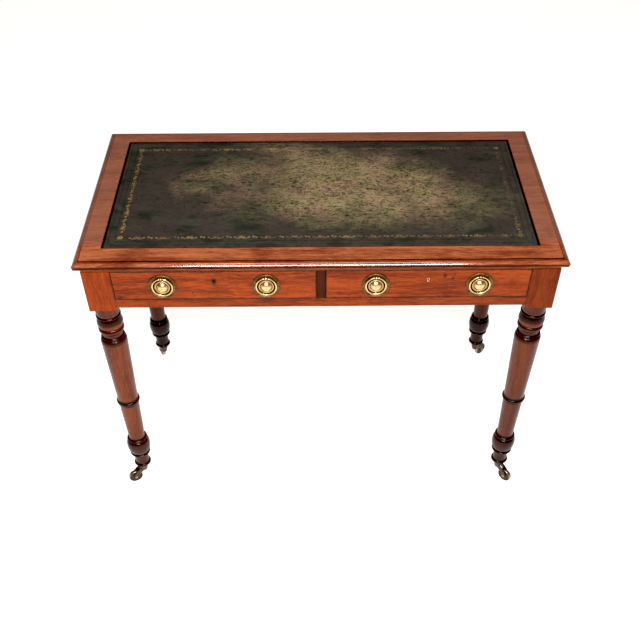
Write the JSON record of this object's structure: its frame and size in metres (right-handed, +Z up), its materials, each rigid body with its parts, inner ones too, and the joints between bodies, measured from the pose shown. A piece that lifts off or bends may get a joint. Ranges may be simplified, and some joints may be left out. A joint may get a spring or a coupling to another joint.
{
  "type": "writing desk",
  "caption": "Mahogany writing table with an inset leather top, frieze drawers with ring handles and locks, and turned tapered legs on brass castors.",
  "frame": {"origin": "on the floor, under the middle of the top", "axes": "+X along the length to the right as seen from the front, +Y towards the back, +Z up; the drawers face -Y"},
  "size_m": [1.07, 0.5672, 0.76],
  "materials": {
    "mahogany_top": "french polished, satin, worn",
    "mahogany_frieze": "french polished, satin",
    "mahogany_leg": "french polished, glossy",
    "mahogany_dark": "french polished, satin",
    "pine": "bare, aged",
    "leather": "dark green hide, gilt tooled, worn",
    "brass": "polished, aged",
    "castor_brass": "tarnished",
    "steel": "dull"
  },
  "bodies": {
    "carcase": {"top_board": "mahogany_top", "writing_leather": "leather", "front_top_rail": "mahogany_frieze", "front_bottom_rail": "mahogany_frieze", "back_rail": "mahogany_frieze", "left_side_rail": "mahogany_frieze", "right_side_rail": "mahogany_frieze", "drawer_divider": "mahogany_dark", "left_runner": "pine", "right_runner": "pine", "centre_runner": "pine", "front_left_leg": "mahogany_leg", "front_right_leg": "mahogany_leg", "back_left_leg": "mahogany_leg", "back_right_leg": "mahogany_leg", "front_left_castor_plate": "castor_brass", "front_right_castor_plate": "castor_brass", "back_left_castor_plate": "castor_brass", "back_right_castor_plate": "castor_brass"},
    "left_drawer": {"left_drawer_front": "mahogany_frieze", "left_drawer_left_side": "pine", "left_drawer_right_side": "pine", "left_drawer_back": "pine", "left_drawer_bottom": "pine", "left_drawer_lock_case": "steel", "left_drawer_left_handle_plate": "brass", "left_drawer_left_handle_boss": "brass", "left_drawer_right_handle_plate": "brass", "left_drawer_right_handle_boss": "brass"},
    "left_drawer_lock_bolt": {"left_drawer_lock_bolt": "brass"},
    "left_drawer_left_handle_ring": {"left_drawer_left_handle_ring": "brass"},
    "left_drawer_right_handle_ring": {"left_drawer_right_handle_ring": "brass"},
    "right_drawer": {"right_drawer_front": "mahogany_frieze", "right_drawer_left_side": "pine", "right_drawer_right_side": "pine", "right_drawer_back": "pine", "right_drawer_bottom": "pine", "right_drawer_lock_case": "steel", "right_drawer_keyhole_liner": "brass", "right_drawer_left_handle_plate": "brass", "right_drawer_left_handle_boss": "brass", "right_drawer_right_handle_plate": "brass", "right_drawer_right_handle_boss": "brass"},
    "right_drawer_lock_bolt": {"right_drawer_lock_bolt": "brass"},
    "right_drawer_left_handle_ring": {"right_drawer_left_handle_ring": "brass"},
    "right_drawer_right_handle_ring": {"right_drawer_right_handle_ring": "brass"},
    "front_left_castor_horn": {"front_left_castor_horn": "castor_brass", "front_left_castor_axle": "steel"},
    "front_left_castor_wheel": {"front_left_castor_wheel": "castor_brass"},
    "front_right_castor_horn": {"front_right_castor_horn": "castor_brass", "front_right_castor_axle": "steel"},
    "front_right_castor_wheel": {"front_right_castor_wheel": "castor_brass"},
    "back_left_castor_horn": {"back_left_castor_horn": "castor_brass", "back_left_castor_axle": "steel"},
    "back_left_castor_wheel": {"back_left_castor_wheel": "castor_brass"},
    "back_right_castor_horn": {"back_right_castor_horn": "castor_brass", "back_right_castor_axle": "steel"},
    "back_right_castor_wheel": {"back_right_castor_wheel": "castor_brass"}
  },
  "joints": [
    {"name": "left_drawer_slide", "type": "slide", "parent": "carcase", "child": "left_drawer", "axis": [0, -1, 0], "range_m": [0, 0.38]},
    {"name": "left_drawer_lock", "type": "slide", "parent": "left_drawer", "child": "left_drawer_lock_bolt", "axis": [0, 0, 1], "range_m": [0, 0.006]},
    {"name": "left_drawer_left_pull", "type": "hinge", "parent": "left_drawer", "child": "left_drawer_left_handle_ring", "pos_m": [-0.3485, -0.273, 0.714], "axis": [-1, 0, 0], "range_deg": [0, 105]},
    {"name": "left_drawer_right_pull", "type": "hinge", "parent": "left_drawer", "child": "left_drawer_right_handle_ring", "pos_m": [-0.1205, -0.273, 0.714], "axis": [-1, 0, 0], "range_deg": [0, 105]},
    {"name": "right_drawer_slide", "type": "slide", "parent": "carcase", "child": "right_drawer", "axis": [0, -1, 0], "range_m": [0, 0.38]},
    {"name": "right_drawer_lock", "type": "slide", "parent": "right_drawer", "child": "right_drawer_lock_bolt", "axis": [0, 0, 1], "range_m": [0, 0.006]},
    {"name": "right_drawer_left_pull", "type": "hinge", "parent": "right_drawer", "child": "right_drawer_left_handle_ring", "pos_m": [0.1205, -0.273, 0.714], "axis": [-1, 0, 0], "range_deg": [0, 105]},
    {"name": "right_drawer_right_pull", "type": "hinge", "parent": "right_drawer", "child": "right_drawer_right_handle_ring", "pos_m": [0.3485, -0.273, 0.714], "axis": [-1, 0, 0], "range_deg": [0, 105]},
    {"name": "front_left_castor_swivel", "type": "hinge", "parent": "carcase", "child": "front_left_castor_horn", "pos_m": [-0.49, -0.24, 0.048], "axis": [0, 0, 1], "continuous": true},
    {"name": "front_left_castor_spin", "type": "hinge", "parent": "front_left_castor_horn", "child": "front_left_castor_wheel", "pos_m": [-0.51538, -0.25183, 0.019], "axis": [0.4226, -0.9063, 0], "continuous": true},
    {"name": "front_right_castor_swivel", "type": "hinge", "parent": "carcase", "child": "front_right_castor_horn", "pos_m": [0.49, -0.24, 0.048], "axis": [0, 0, 1], "continuous": true},
    {"name": "front_right_castor_spin", "type": "hinge", "parent": "front_right_castor_horn", "child": "front_right_castor_wheel", "pos_m": [0.5098, -0.2598, 0.019], "axis": [0.7071, 0.7071, 0], "continuous": true},
    {"name": "back_left_castor_swivel", "type": "hinge", "parent": "carcase", "child": "back_left_castor_horn", "pos_m": [-0.49, 0.242, 0.048], "axis": [0, 0, 1], "continuous": true},
    {"name": "back_left_castor_spin", "type": "hinge", "parent": "back_left_castor_horn", "child": "back_left_castor_wheel", "pos_m": [-0.50183, 0.26738, 0.019], "axis": [-0.9063, -0.4226, 0], "continuous": true},
    {"name": "back_right_castor_swivel", "type": "hinge", "parent": "carcase", "child": "back_right_castor_horn", "pos_m": [0.49, 0.242, 0.048], "axis": [0, 0, 1], "continuous": true},
    {"name": "back_right_castor_spin", "type": "hinge", "parent": "back_right_castor_horn", "child": "back_right_castor_wheel", "pos_m": [0.51145, 0.26, 0.019], "axis": [-0.6428, 0.766, 0], "continuous": true}
  ]
}
